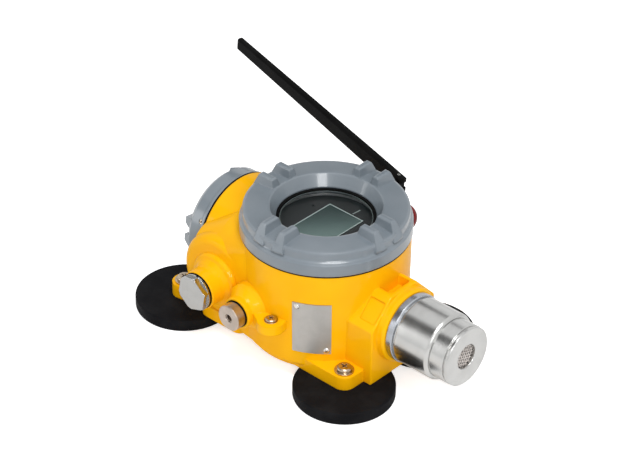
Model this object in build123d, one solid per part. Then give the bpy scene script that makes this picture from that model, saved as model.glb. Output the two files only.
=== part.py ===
from build123d import *
import math
import os

# Combustible gas detector: a flameproof cast housing that lies on four rubber-coated magnets.
# All sizes are in millimetres. +Z points out of the display, -Y towards the gas sensor.
# The origin is the centre of the four magnets, on the surface that they hold to.
# The pieces are drawn about the display axis and moved onto that origin as they are written.

# Magnet feet
FOOT_R = 33.0
FOOT_T = 8.5
FOOT_PITCH_X = 78.4
FOOT_PITCH_Y = 143.4
DISPLAY_TO_FRONT_FEET = 52.5
FOOT_COAT = 1.5
FOOT_BUSH_R = 5.0
FOOT_SCREW_R = 3.0
FOOT_WASHER_R = 6.4
FOOT_WASHER_T = 1.2

# Ears that carry the feet
EAR_R = 8.3
EAR_T = 9.5
EAR_WEB_Y = 48.0

# Main round of the housing, below the display cover
BODY_R_LOW = 54.1
BODY_R_TOP = 55.0
BODY_Z0 = 12.0
RIM_Z = 82.8
NECK_WALL = 4.3
FLOOR_T = 5.5
NECK_H = 9.2

# Rear wiring chamber, a round barrel along Y
CHAMBER_Z = 49.8
CHAMBER_R = 37.9
CHAMBER_END_Y = 75.9
CHAMBER_BORE_R = 28.0
CHAMBER_WALL_Y = 50.2
CHAMBER_NECK_R = 33.0
CHAMBER_NECK_L = 9.5
HIP_HALF_X = 46.0
HIP_TOP_Z = 68.9
HIP_EDGE_R = 17.0

# Height shared by the sensor and by everything that screws into the sides
PORT_Z = 42.0

# Cable entries, one turret each side
TURRET_Y = 52.2
TURRET_R = 31.0
TURRET_X = 48.0
TURRET_EDGE_R = 6.0
TURRET_STEP_R = 19.3
TURRET_STEP_X = 51.5
ENTRY_R = 13.2
ENTRY_NOSE_L = 13.1
ENTRY_THREAD_R = 9.8

# Small port on the left
SMALL_PORT_Y = 16.6
SMALL_PORT_R = 10.8
SMALL_PORT_L = 10.6
SMALL_THREAD_R = 6.0

# Sensor boss, an eight-sided block with a round collar
BOSS_HALF_X = 30.0
BOSS_FRONT_Y = 67.0
BOSS_SHOULDER_Z = 49.0
BOSS_TOP_Z = 68.0
BOSS_TOP_HALF_X = 12.0
RECESS_MARGIN = 5.3
RECESS_L = 12.2
RECESS_DEPTH = 1.1
POCKET_DEPTH = 7.2
COLLAR_R = 25.4
COLLAR_L = 5.0
SENSOR_THREAD_R = 17.5

# Sensor head, stations measured forward of the collar
LOCK_RING_R = 23.4
LOCK_RING_L = 5.0
SENSOR_R = 22.7
SENSOR_L = 28.5
SENSOR_EDGE_R = 2.0
SENSOR_CAP_R = 20.4
SENSOR_CAP_L = 14.0
GAS_HOLE_R = 8.4
GAS_HOLE_DEPTH = 4.8
ARRESTOR_R = 12.2
ARRESTOR_T = 2.2
CAP_BORE_R = 13.8
ELEMENT_R = 9.8
HOLDER_T = 4.0
HOLDER_INSET = 6.0
ELEMENT_PIN_R = 0.5
ELEMENT_PIN_L = 8.0
ELEMENT_PIN_PITCH_R = 5.0

# Display cover
COVER_R = 55.7
COVER_BAND_H = 9.6
COVER_WALL = 5.4
COVER_STEP = 1.7
COVER_TOP_INSET = 2.1
COVER_EDGE_Z = 100.1
COVER_TOP_Z = 101.6
BOWL_SLOPE = 4.1
WINDOW_LIP_W = 3.1
WINDOW_Z = 92.8
WINDOW_LIP_T = 0.9
WINDOW_SEAL_T = 1.0
WINDOW_SEAL_W = 1.8
GLASS_RING_GRIP = 4.8
GLASS_T = 4.0
GLASS_RING_INSET = 6.0
GLASS_RING_T = 1.5
GLASS_LAP = 2.2
LUG_TOP_Z = 107.6
LUG_CREST_INSET = 6.3
LUG_SPACING = 16.0
LUG_TOP_W = 4.2
LUG_FOOT_W = 9.4

# Rear cover
REAR_R = 37.4
REAR_SEAL_T = 1.5
REAR_BAND_L = 11.0
REAR_BACK_R = 32.4
REAR_L = 16.0
REAR_LUG_H = 4.4
REAR_LUG_SPACING = 13.0
REAR_LUG_PAIRS = 3
REAR_LUG_TURN = 186.7
COVER_LUG_PAIRS = 4
REAR_SCREW_TURN = -153.4

# Hex plug and round plug
HEX_PLUG_AF = 21.7
HEX_PLUG_T = 5.2
HEX_PLUG_TURN = 10.0
ROUND_PLUG_R = 8.85
ROUND_PLUG_T = 6.9
PLUG_SEAL_T = 0.9
SOCKET_R = 2.6

# Lamp on the right
LAMP_Y = 12.2
LAMP_PORT_L = 9.0
LAMP_NUT_AF = 22.0
LAMP_NUT_T = 9.0
LAMP_LENS_R = 10.1
LAMP_LENS_L = 24.1
LAMP_SEAT_T = 1.4
LAMP_COLLAR_T = 1.3
LAMP_COLLAR_H = 4.2
LAMP_LENS_WALL = 1.6

# Antenna: the jack axis runs along X, the blade leaves the elbow almost along Y
JACK_Z = 73.0
JACK_BOSS_R = 8.5
JACK_BOSS_L = 3.6
JACK_HEX_AF = 9.0
JACK_HEX_T = 2.0
SWIVEL_NUT_AF = 8.4
SWIVEL_NUT_L = 9.0
JACK_R = 3.15
JACK_L = 6.6
SWIVEL_R = 2.2
ELBOW_REACH = 25.4
ELBOW_R = 5.4
TONGUE_R = 4.2
ELBOW_BEND = 77.1
ELBOW_ROLL = 3.8
BLADE_L = 194.0
BLADE_BACK = 5.6
BLADE_W = 12.5
BLADE_T = 5.8
BLADE_TIP_W = 9.4
BLADE_TIP_T = 4.6
TONGUE_T = 4.4
ELBOW_PIN_R = 1.25

# Nameplate on the round wall, left of the sensor boss
PLATE_ANGLE = -146.7
PLATE_W = 25.0
PLATE_H = 38.0
PLATE_Z = 42.8
PLATE_T = 0.8

# Earth lug
EARTH_REACH = 3.2
EARTH_Y = -6.6
EARTH_Z = 45.0
EARTH_T = 6.5
EARTH_R = 9.2

# Faceplate, screen and boards
FACE_GAP = 1.4
FACE_Z = 84.2
FACE_T = 1.6
LCD_X = 41.6
LCD_Y = 29.1
LCD_OFFSET_Y = 1.35
LCD_RISE = 0.3
LCD_T = 4.0
BOARD_GAP = 3.0
BOARD_T = 1.6
UPPER_BOARD_Z = 74.0
LOWER_BOARD_Z = 60.0
PILLAR_R = 3.0
PILLAR_INSET = 4.0
PILLAR_SCREW_R = 1.4
CELL_R = 16.6
CELL_L = 60.0
CRADLE_T = 2.4
CRADLE_HALF_W = 15.5
CRADLE_DIP = 4.0
CRADLE_END = 3.6

PEEP_R = 1.1
PEEP_X = 12.1
PEEP_Y = 22.8
TERMINAL_L = 34.0
TERMINAL_W = 12.0
TERMINAL_H = 12.0
TERMINAL_PITCH = 8.5
PLUG_THREAD_L = 16.0
SMALL_THREAD_L = 14.0
RIVET_R = 2.0

# Clearances
FIT = 0.3
THREAD_GAP = 0.12
RUN_GAP = 0.05
SEAL_H = 0.9

FOOT_X = FOOT_PITCH_X / 2
FRONT_FOOT_Y = -DISPLAY_TO_FRONT_FEET
REAR_FOOT_Y = FRONT_FOOT_Y + FOOT_PITCH_Y
DISPLAY_Y = -(FRONT_FOOT_Y + REAR_FOOT_Y) / 2
ENTRY_X = TURRET_STEP_X + ENTRY_NOSE_L
BODY_R = max(BODY_R_LOW, BODY_R_TOP)
SMALL_PORT_X = BODY_R + SMALL_PORT_L
LAMP_PORT_X = BODY_R + LAMP_PORT_L
LAMP_SEAT_X = LAMP_PORT_X + PLUG_SEAL_T + LAMP_NUT_T + LAMP_SEAT_T
LAMP_LENS_TIP_X = LAMP_SEAT_X + LAMP_LENS_L
JACK_BOSS_X = BODY_R + JACK_BOSS_L
ELBOW_X = JACK_BOSS_X + ELBOW_REACH
EARTH_X = -(BODY_R + EARTH_REACH)
FLOOR_Z = BODY_Z0 + FLOOR_T
EAR_TOP_Z = FOOT_T + EAR_T
COLLAR_Y = -(BOSS_FRONT_Y + COLLAR_L)
LOCK_Y = COLLAR_Y - LOCK_RING_L
BARREL_Y = LOCK_Y - SENSOR_L
CAP_FACE_Y = BARREL_Y - SENSOR_CAP_L
COVER_Z0 = RIM_Z + SEAL_H
COVER_STEP_R = COVER_R - COVER_STEP
COVER_TOP_R = COVER_R - COVER_TOP_INSET
LUG_CREST_R = COVER_R - LUG_CREST_INSET
NECK_R = COVER_R - COVER_WALL
BODY_BORE_R = NECK_R - NECK_WALL
GLASS_RING_R = BODY_BORE_R - GLASS_RING_INSET
GLASS_R = GLASS_RING_R - GLASS_RING_GRIP
GLASS_RING_BORE = GLASS_R - GLASS_LAP
WINDOW_R = GLASS_R - WINDOW_LIP_W
WINDOW_SEAL_R = WINDOW_R - WINDOW_SEAL_W
BOWL_R = WINDOW_R + BOWL_SLOPE
FACE_R = BODY_BORE_R - FACE_GAP
BOARD_R = BODY_BORE_R - BOARD_GAP
PILLAR_PITCH_R = BOARD_R - PILLAR_INSET
REAR_Y0 = CHAMBER_END_Y + REAR_SEAL_T

os.makedirs("parts", exist_ok=True)


def write(shape, name):
    moved = Pos(0, DISPLAY_Y, 0) * shape
    export_step(moved, "parts/" + name + ".step")


def disc(r, z0, z1, x=0.0, y=0.0):
    return Pos(x, y, (z0 + z1) / 2) * Cylinder(r, abs(z1 - z0))


def rod_y(r, y0, y1, x=0.0, z=0.0):
    return Pos(x, (y0 + y1) / 2, z) * Rot(90, 0, 0) * Cylinder(r, abs(y1 - y0))


def rod_x(r, x0, x1, y=0.0, z=0.0):
    return Pos((x0 + x1) / 2, y, z) * Rot(0, 90, 0) * Cylinder(r, abs(x1 - x0))


def block(x0, x1, y0, y1, z0, z1):
    return Pos((x0 + x1) / 2, (y0 + y1) / 2, (z0 + z1) / 2) * Box(x1 - x0, y1 - y0, z1 - z0)


def turned(points):
    # A profile of (radius, height) pairs turned about the Z axis
    face = make_face(Plane.XZ * Polyline(*points, close=True))
    return revolve(face, Axis.Z)


def to_y(shape, x=0.0, z=0.0):
    # Lays a turned shape along +Y
    return Pos(x, 0, z) * Rot(-90, 0, 0) * shape


def to_front(shape):
    # Lays a turned shape along the sensor axis, heights counted towards -Y
    return Pos(0, 0, PORT_Z) * Rot(90, 0, 0) * shape


def to_x(shape, y=0.0, z=0.0):
    # Lays a turned shape along +X
    return Pos(0, y, z) * Rot(0, 90, 0) * shape


def hex_bar(af, height):
    return extrude(RegularPolygon(af / math.sqrt(3), 6), height)


def taper_block(foot, foot_z, top, top_z):
    # A four-sided frustum between two upright rectangles given as (x0, x1, y0, y1)
    low = Pos((foot[0] + foot[1]) / 2, (foot[2] + foot[3]) / 2, foot_z)
    low = low * Rectangle(foot[1] - foot[0], foot[3] - foot[2])
    high = Pos((top[0] + top[1]) / 2, (top[2] + top[3]) / 2, top_z)
    high = high * Rectangle(top[1] - top[0], top[3] - top[2])
    return loft([low, high])


def mirrored(shape):
    return shape + shape.mirror(Plane.YZ)


# Housing casting
def round_body():
    body = turned([(0, BODY_Z0), (BODY_R_LOW, BODY_Z0), (BODY_R_TOP, RIM_Z), (0, RIM_Z)])
    body = fillet(body.edges().group_by(Axis.Z)[0], 2.0)
    return body + disc(NECK_R, RIM_Z - 1, RIM_Z + NECK_H)


def ears():
    front = block(-FOOT_X - EAR_R, FOOT_X + EAR_R, FRONT_FOOT_Y - EAR_R, -12, FOOT_T, EAR_TOP_Z)
    corners = front.edges().filter_by(Axis.Z).group_by(Axis.Y)[0]
    front = fillet(corners, EAR_R - 0.3)
    rear = disc(EAR_R, FOOT_T, EAR_TOP_Z, FOOT_X, REAR_FOOT_Y)
    web = Polygon(
        (FOOT_X - EAR_R, REAR_FOOT_Y),
        (FOOT_X - EAR_R, EAR_WEB_Y),
        (FOOT_X + 6, EAR_WEB_Y),
        (FOOT_X + 6, REAR_FOOT_Y - 14),
        (FOOT_X + EAR_R, REAR_FOOT_Y),
        align=None,
    )
    rear = rear + Pos(0, 0, FOOT_T) * extrude(web, EAR_T)
    skirt = disc(BODY_R_LOW - 3.6, FOOT_T, BODY_Z0 + 2)
    hip = block(-HIP_HALF_X - 3, HIP_HALF_X + 3, 30, CHAMBER_END_Y - 8, FOOT_T, EAR_TOP_Z)
    hip = fillet(hip.edges().filter_by(Axis.Z), 6.0)
    return front + mirrored(rear) + skirt + hip


def hips():
    # Shoulders that sweep from the round body back to the wiring chamber
    def section(y, half_x, top_z, edge_r):
        height = top_z - BODY_Z0
        outline = Polygon(
            (-half_x, 0),
            (half_x, 0),
            (half_x, height),
            (-half_x, height),
            align=None,
        )
        top = outline.vertices().group_by(Axis.Y)[-1]
        outline = fillet(top, edge_r)
        plane = Plane(origin=(0, y, BODY_Z0), x_dir=(1, 0, 0), z_dir=(0, -1, 0))
        return plane * outline

    front = section(BODY_R_TOP / 3, BODY_R_TOP - 5, RIM_Z - 0.3, 3.0)
    middle = section(BODY_R_TOP, HIP_HALF_X, RIM_Z - 0.8, HIP_EDGE_R + 5)
    back = section(CHAMBER_END_Y, HIP_HALF_X, HIP_TOP_Z, HIP_EDGE_R)
    return loft([front, middle], ruled=True) + loft([middle, back], ruled=True)


def turret():
    drum = rod_x(TURRET_R, 20, TURRET_X, TURRET_Y, PORT_Z)
    drum = fillet(drum.edges().filter_by(GeomType.CIRCLE).group_by(Axis.X)[-1], TURRET_EDGE_R)
    nose = turned(
        [
            (0, TURRET_X - 6),
            (TURRET_STEP_R, TURRET_X - 6),
            (TURRET_STEP_R, TURRET_STEP_X - 2.5),
            (TURRET_STEP_R - 1.2, TURRET_STEP_X - 0.7),
            (TURRET_STEP_R - 3.2, TURRET_STEP_X),
            (ENTRY_R + 2.2, TURRET_STEP_X + 0.8),
            (ENTRY_R + 0.6, TURRET_STEP_X + 2.6),
            (ENTRY_R, TURRET_STEP_X + 5.5),
            (ENTRY_R, ENTRY_X - 0.8),
            (ENTRY_R - 0.8, ENTRY_X),
            (0, ENTRY_X),
        ]
    )
    return drum + to_x(nose, TURRET_Y, PORT_Z)


def small_port(reach, radius):
    # Conical stub that grows out of the round wall
    stub = turned(
        [
            (0, 30),
            (radius + 5.5, 30),
            (radius + 5.0, BODY_R_TOP),
            (radius + 3.2, BODY_R_TOP + 1.6),
            (radius + 0.9, BODY_R_TOP + 4.6),
            (radius, BODY_R_TOP + 6.6),
            (radius, reach - 0.6),
            (radius - 0.6, reach),
            (0, reach),
        ]
    )
    return stub


def sensor_boss():
    outline = Polygon(
        (-BOSS_HALF_X, FOOT_T),
        (BOSS_HALF_X, FOOT_T),
        (BOSS_HALF_X, BOSS_SHOULDER_Z),
        (BOSS_TOP_HALF_X, BOSS_TOP_Z),
        (-BOSS_TOP_HALF_X, BOSS_TOP_Z),
        (-BOSS_HALF_X, BOSS_SHOULDER_Z),
        align=None,
    )
    shoulders = [v for v in outline.vertices() if v.Y > FOOT_T + 1]
    outline = fillet(shoulders, 2.0)
    boss = extrude(Plane.XZ * outline, BOSS_FRONT_Y, dir=(0, -1, 0))
    front = boss.faces().sort_by(Axis.Y)[0]
    boss = fillet(front.edges(), 1.0)
    boss = boss - block(-BOSS_HALF_X, BOSS_HALF_X, -BODY_BORE_R + 8, 1, FOOT_T + 1, BOSS_TOP_Z + 1)
    run = BOSS_HALF_X - BOSS_TOP_HALF_X
    rise = BOSS_TOP_Z - BOSS_SHOULDER_Z
    slope = math.hypot(run, rise)
    # Shallow recess in each sloping face
    tilt = math.degrees(math.atan2(rise, run))
    recess = Box(slope - 2 * RECESS_MARGIN, RECESS_L, 2 * RECESS_DEPTH)
    recess = fillet(recess.edges().filter_by(Axis.Z), 1.2)
    place = Pos(-(BOSS_HALF_X + BOSS_TOP_HALF_X) / 2, RECESS_L / 2 - BOSS_FRONT_Y + 1.8,
                (BOSS_SHOULDER_Z + BOSS_TOP_Z) / 2)
    recess = place * Rot(0, -tilt, 0) * recess
    boss = boss - mirrored(recess)
    # Open pocket that keeps the top wall thin
    pocket = block(-BOSS_TOP_HALF_X + 2.6, BOSS_TOP_HALF_X - 2.6, -BOSS_FRONT_Y + 3.2,
                   -BOSS_FRONT_Y + 13.5, BOSS_TOP_Z - POCKET_DEPTH, BOSS_TOP_Z + 2)
    pocket = fillet(pocket.edges().filter_by(Axis.Z), 2.0)
    boss = boss - pocket
    collar = turned(
        [
            (0, BOSS_FRONT_Y - 1),
            (COLLAR_R + 0.5, BOSS_FRONT_Y - 1),
            (COLLAR_R + 0.5, BOSS_FRONT_Y + 0.2),
            (COLLAR_R + 0.1, BOSS_FRONT_Y + 0.6),
            (COLLAR_R, BOSS_FRONT_Y + 1.4),
            (COLLAR_R, BOSS_FRONT_Y + COLLAR_L - 1.4),
            (COLLAR_R - 1.4, BOSS_FRONT_Y + COLLAR_L),
            (0, BOSS_FRONT_Y + COLLAR_L),
        ]
    )
    return boss + to_front(collar)


def earth_lug():
    lug = disc(EARTH_R, EARTH_Z - EARTH_T, EARTH_Z, EARTH_X, EARTH_Y)
    root = Polygon(
        (EARTH_X + 1.0, EARTH_Y - EARTH_R + 0.1),
        (-38, EARTH_Y - EARTH_R + 4),
        (-38, SMALL_PORT_Y),
        (EARTH_X + 2.0, SMALL_PORT_Y),
        (EARTH_X - EARTH_R + 2.0, EARTH_Y + 5.0),
        align=None,
    )
    lug = lug + Pos(0, 0, EARTH_Z - EARTH_T) * extrude(root, EARTH_T)
    return lug


def housing():
    cast = round_body() + ears()
    cast = cast + hips()
    barrel = rod_y(CHAMBER_R, 20, CHAMBER_END_Y, 0, CHAMBER_Z)
    cast = cast + barrel
    cast = cast + mirrored(turret())
    cast = cast + to_x(small_port(SMALL_PORT_X, SMALL_PORT_R), SMALL_PORT_Y, PORT_Z).mirror(Plane.YZ)
    cast = cast + to_x(small_port(LAMP_PORT_X, SMALL_PORT_R), LAMP_Y, PORT_Z)
    cast = cast + sensor_boss() + earth_lug()
    cast = cast + rod_x(JACK_BOSS_R, 40, JACK_BOSS_X, LAMP_Y, JACK_Z)
    # The cover's seat is faced flat, and the rear cover has room to turn
    seat = turned(
        [
            (NECK_R, RIM_Z),
            (COVER_R + 1.4, RIM_Z),
            (COVER_R + 1.4, COVER_EDGE_Z),
            (NECK_R, COVER_EDGE_Z),
        ]
    )
    cast = cast - seat
    cast = cast - disc(NECK_R + 0.1, RIM_Z + NECK_H, COVER_EDGE_Z)
    room = rod_y(REAR_R + 0.9, CHAMBER_END_Y, REAR_FOOT_Y + 20, 0, CHAMBER_Z)
    cast = cast - room
    cast = cast + rod_y(CHAMBER_NECK_R, CHAMBER_END_Y - 1, CHAMBER_END_Y + CHAMBER_NECK_L, 0, CHAMBER_Z)
    # Electronics bore, wiring chamber, and the way between them
    cast = cast - disc(BODY_BORE_R, FLOOR_Z, RIM_Z + NECK_H + 1)
    cast = cast - rod_y(CHAMBER_BORE_R, CHAMBER_WALL_Y, CHAMBER_END_Y + CHAMBER_NECK_L + 1, 0, CHAMBER_Z)
    cast = cast - rod_y(4.0, BODY_BORE_R - 8, CHAMBER_WALL_Y + 2, 0, CHAMBER_Z)
    # Threaded ways in: sensor, cable, small port, lamp, antenna jack
    cast = cast - rod_y(SENSOR_THREAD_R + THREAD_GAP, -BODY_BORE_R + 6, COLLAR_Y - 1, 0, PORT_Z)
    cast = cast - rod_x(ENTRY_THREAD_R + THREAD_GAP, -ENTRY_X - 1, -CHAMBER_BORE_R + 2.5, TURRET_Y, PORT_Z)
    cast = cast - rod_x(SMALL_THREAD_R + THREAD_GAP, -SMALL_PORT_X - 1, -BODY_BORE_R + 4, SMALL_PORT_Y, PORT_Z)
    cast = cast - rod_x(SMALL_THREAD_R + THREAD_GAP, BODY_BORE_R - 3, LAMP_PORT_X + 1, LAMP_Y, PORT_Z)
    cast = cast - rod_x(JACK_R + THREAD_GAP, BODY_BORE_R - 3, JACK_BOSS_X + 1, LAMP_Y, JACK_Z)
    for x, y in foot_places():
        cast = cast - disc(FOOT_SCREW_R + THREAD_GAP, FOOT_T - 1, EAR_TOP_Z + 1, x, y)
    cast = cast - disc(2.1, EARTH_Z - EARTH_T - 1, EARTH_Z + 1, EARTH_X, EARTH_Y)
    cast = cast - disc(4.6, EARTH_Z - 0.8, EARTH_Z + 1, EARTH_X, EARTH_Y)
    return cast


def foot_places():
    return [(x, y) for y in (FRONT_FOOT_Y, REAR_FOOT_Y) for x in (-FOOT_X, FOOT_X)]




def cross_recess(r, depth):
    # Cross slot for a screwdriver, open at z = 0
    bar = Box(r * 1.5, r * 0.34, depth * 2)
    return bar + Rot(0, 0, 90) * bar


def pan_screw(shank_r, head_r, head_h, length):
    # Head stands on z = 0 and the shank hangs below
    head = fillet(Cylinder(head_r, head_h).edges().group_by(Axis.Z)[-1], head_h * 0.55)
    head = Pos(0, 0, head_h / 2) * head
    head = head - Pos(0, 0, head_h) * cross_recess(head_r * 0.62, head_h * 0.6)
    return head + disc(shank_r, -length, 0.2)


def group(shapes):
    return Compound([solid for shape in shapes for solid in shape.solids()])


# Magnet feet
def magnet_foot(x, y):
    body = disc(FOOT_R, 0, FOOT_T)
    body = fillet(body.edges().filter_by(GeomType.CIRCLE), 1.1)
    body = body - disc(FOOT_BUSH_R, FOOT_COAT, FOOT_T + 1)
    return Pos(x, y, 0) * body


def foot_bush():
    bush = disc(FOOT_BUSH_R, FOOT_COAT, FOOT_T)
    return bush - disc(FOOT_SCREW_R + THREAD_GAP, FOOT_COAT + 1.2, FOOT_T + 1)


def foot_washer():
    z0 = EAR_TOP_Z
    return disc(FOOT_WASHER_R, z0, z0 + FOOT_WASHER_T) - disc(FOOT_SCREW_R + 0.3, z0 - 1, z0 + 3)


def foot_screw():
    top = EAR_TOP_Z + FOOT_WASHER_T
    return Pos(0, 0, top) * pan_screw(FOOT_SCREW_R, 5.0, 2.6, top - FOOT_COAT - 2.0)


# Display cover
def cover_profile():
    band_z = COVER_Z0 + COVER_BAND_H - SEAL_H
    lip_z = WINDOW_Z + WINDOW_LIP_T
    ring_z = WINDOW_Z - WINDOW_SEAL_T - GLASS_T
    skirt_r = BODY_BORE_R - 1.2
    neck_z = RIM_Z + NECK_H + 0.6
    return [
        (COVER_R - 0.3, COVER_Z0),
        (COVER_R, COVER_Z0 + 0.5),
        (COVER_R, band_z - 0.7),
        (COVER_R - 0.6, band_z),
        (COVER_STEP_R + 0.8, band_z + 0.9),
        (COVER_STEP_R + 0.1, band_z + 1.5),
        (COVER_STEP_R - 0.3, band_z + 2.2),
        (COVER_STEP_R - 0.3, COVER_EDGE_Z - 1.1),
        (COVER_TOP_R - 0.2, COVER_EDGE_Z),
        (COVER_TOP_R - 1.6, COVER_EDGE_Z + 0.5),
        (BOWL_R + 1.2, COVER_TOP_Z),
        (BOWL_R, COVER_TOP_Z - 0.3),
        (WINDOW_R, lip_z),
        (WINDOW_R, WINDOW_Z),
        (GLASS_R + FIT, WINDOW_Z),
        (GLASS_R + FIT, ring_z),
        (GLASS_RING_R + THREAD_GAP, ring_z),
        (GLASS_RING_R + THREAD_GAP, ring_z - GLASS_RING_T),
        (skirt_r, ring_z - GLASS_RING_T),
        (skirt_r, neck_z),
        (NECK_R + FIT, neck_z),
        (NECK_R + FIT, COVER_Z0),
    ]


def lug(x_foot, x_top, foot_z, top_z):
    # One wrench lug, drafted on all sides and rounded along its crest
    foot = (x_foot[0], x_foot[1], -LUG_FOOT_W / 2, LUG_FOOT_W / 2)
    top = (x_top[0], x_top[1], -LUG_TOP_W / 2, LUG_TOP_W / 2)
    body = taper_block(foot, foot_z, top, top_z)
    return fillet(body.edges().group_by(Axis.Z)[-1], 1.4)


def lug_ring(one, spacing, pairs, start=0.0):
    # Pairs of lugs: a tightening bar lies between the two lugs of a pair
    ring = None
    for step in range(pairs):
        for side in (-spacing / 2, spacing / 2):
            placed = Rot(0, 0, start + 360 / pairs * step) * Pos(0, side, 0) * one
            ring = placed if ring is None else ring + placed
    return ring


def display_cover():
    cover = turned(cover_profile())
    foot_z = WINDOW_Z + 2.2
    one = lug((BOWL_R - 1.2, COVER_R - 0.8), (BOWL_R + 1.8, LUG_CREST_R), foot_z, LUG_TOP_Z)
    lugs = lug_ring(one, LUG_SPACING, COVER_LUG_PAIRS)
    lugs = lugs & disc(COVER_R - 0.5, foot_z, LUG_TOP_Z + 1)
    cover = cover + lugs
    hole = Rot(0, 0, 50) * rod_x(2.0, NECK_R, COVER_R + 1, 0, COVER_Z0 + 4.6)
    return cover - hole


def cover_set_screw():
    screw = rod_x(1.95, NECK_R + FIT / 2, COVER_R - 1.2, 0, COVER_Z0 + 4.6)
    key = Pos(COVER_R - 1.2, 0, COVER_Z0 + 4.6) * Rot(0, 90, 0) * hex_bar(2.0, 2.4).moved(Location((0, 0, -1.6)))
    return Rot(0, 0, 50) * (screw - key)


def window_seal():
    z1 = WINDOW_Z
    z0 = z1 - WINDOW_SEAL_T
    return disc(GLASS_R, z0, z1) - disc(WINDOW_SEAL_R, z0 - 1, z1 + 1)


def window_glass():
    z1 = WINDOW_Z - WINDOW_SEAL_T
    glass = disc(GLASS_R, z1 - GLASS_T, z1)
    return chamfer(glass.edges().filter_by(GeomType.CIRCLE), 0.4)


def glass_ring():
    z1 = WINDOW_Z - WINDOW_SEAL_T - GLASS_T
    ring = disc(GLASS_RING_R, z1 - GLASS_RING_T, z1)
    ring = ring - disc(GLASS_RING_BORE, z1 - 5, z1 + 1)
    for turn in (0, 180):
        ring = ring - Rot(0, 0, turn) * block(GLASS_RING_R - 4.2, GLASS_RING_R - 1.5, -1.2, 1.2, z1 - 5, z1 + 1)
    return ring


def cover_gasket():
    return disc(COVER_R - 0.4, RIM_Z, COVER_Z0) - disc(NECK_R + 0.1, RIM_Z - 1, COVER_Z0 + 1)


# Faceplate, screen and boards
def pillar_places():
    places = []
    for turn in (45, 135, 225, 315):
        angle = math.radians(turn)
        places.append((PILLAR_PITCH_R * math.cos(angle), PILLAR_PITCH_R * math.sin(angle)))
    return places


def faceplate():
    z0 = FACE_Z - FACE_T
    plate = disc(FACE_R, z0, FACE_Z)
    plate = plate - block(-LCD_X / 2, LCD_X / 2, LCD_OFFSET_Y - LCD_Y / 2, LCD_OFFSET_Y + LCD_Y / 2, z0 - 1, FACE_Z + 1)
    plate = plate - disc(PEEP_R, z0 - 1, FACE_Z + 1, PEEP_X, PEEP_Y)
    for x, y in pillar_places():
        plate = plate - disc(PILLAR_SCREW_R + 0.2, z0 - 1, FACE_Z + 1, x, y)
    return plate


def screen():
    x = LCD_X / 2 - 0.15
    y = LCD_Y / 2 - 0.15
    top = FACE_Z + LCD_RISE
    return block(-x, x, LCD_OFFSET_Y - y, LCD_OFFSET_Y + y, top - LCD_T, top)


def screen_frame():
    # Bezel clipped round the screen behind the faceplate
    z1 = FACE_Z - FACE_T
    z0 = UPPER_BOARD_Z + BOARD_T
    x = LCD_X / 2
    y = LCD_Y / 2
    frame = block(-x - 3, x + 3, LCD_OFFSET_Y - y - 3, LCD_OFFSET_Y + y + 3, z0, z1)
    hollow = block(-x, x, LCD_OFFSET_Y - y, LCD_OFFSET_Y + y, FACE_Z + LCD_RISE - LCD_T, z1 + 1)
    under = block(-x + 3, x - 3, LCD_OFFSET_Y - y + 3, LCD_OFFSET_Y + y - 3, z0 - 1, z1)
    return frame - hollow - under


def board(z0, chips):
    plate = disc(BOARD_R, z0, z0 + BOARD_T)
    for x, y in pillar_places():
        plate = plate - disc(PILLAR_SCREW_R + 0.2, z0 - 1, z0 + 3, x, y)
    for x0, x1, y0, y1, height in chips:
        plate = plate + block(x0, x1, y0, y1, z0 + BOARD_T - 0.1, z0 + BOARD_T + height)
    return plate


def pillars(z0, z1):
    tubes = []
    for x, y in pillar_places():
        tube = Pos(x, y, z0) * hex_bar(PILLAR_R * 1.7, z1 - z0)
        if z0 > FLOOR_Z:
            tube = tube - disc(PILLAR_SCREW_R + 0.1, z0 - 1, z1 + 1, x, y)
        else:
            tube = tube - disc(PILLAR_SCREW_R + 0.1, z1 - 8, z1 + 1, x, y)
        tubes.append(tube)
    return group(tubes)


def face_screws():
    length = FACE_Z - LOWER_BOARD_Z + 6
    screw = pan_screw(PILLAR_SCREW_R, 2.7, 0.9, length)
    return group([Pos(x, y, FACE_Z) * screw for x, y in pillar_places()])


def battery_cell():
    z = FLOOR_Z + CRADLE_T + CELL_R
    cell = rod_x(CELL_R, -CELL_L / 2, CELL_L / 2, 0, z)
    cell = fillet(cell.edges().filter_by(GeomType.CIRCLE), 0.8)
    return cell + rod_x(3.2, CELL_L / 2 - 0.1, CELL_L / 2 + 1.4, 0, z)


def cell_cradle():
    z = FLOOR_Z + CRADLE_T + CELL_R
    half_x = CELL_L / 2 + CRADLE_END
    base = block(-half_x, half_x, -CRADLE_HALF_W, CRADLE_HALF_W, FLOOR_Z, z - CRADLE_DIP)
    bed = rod_x(CELL_R + 0.02, -CELL_L / 2 - 0.3, CELL_L / 2 + 1.5, 0, z)
    return base - bed


# Rear wiring chamber
def rear_gasket():
    y0 = CHAMBER_END_Y
    ring = rod_y(CHAMBER_R - 0.2, y0, REAR_Y0, 0, CHAMBER_Z)
    return ring - rod_y(CHAMBER_NECK_R + 0.1, y0 - 1, REAR_Y0 + 1, 0, CHAMBER_Z)


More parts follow.
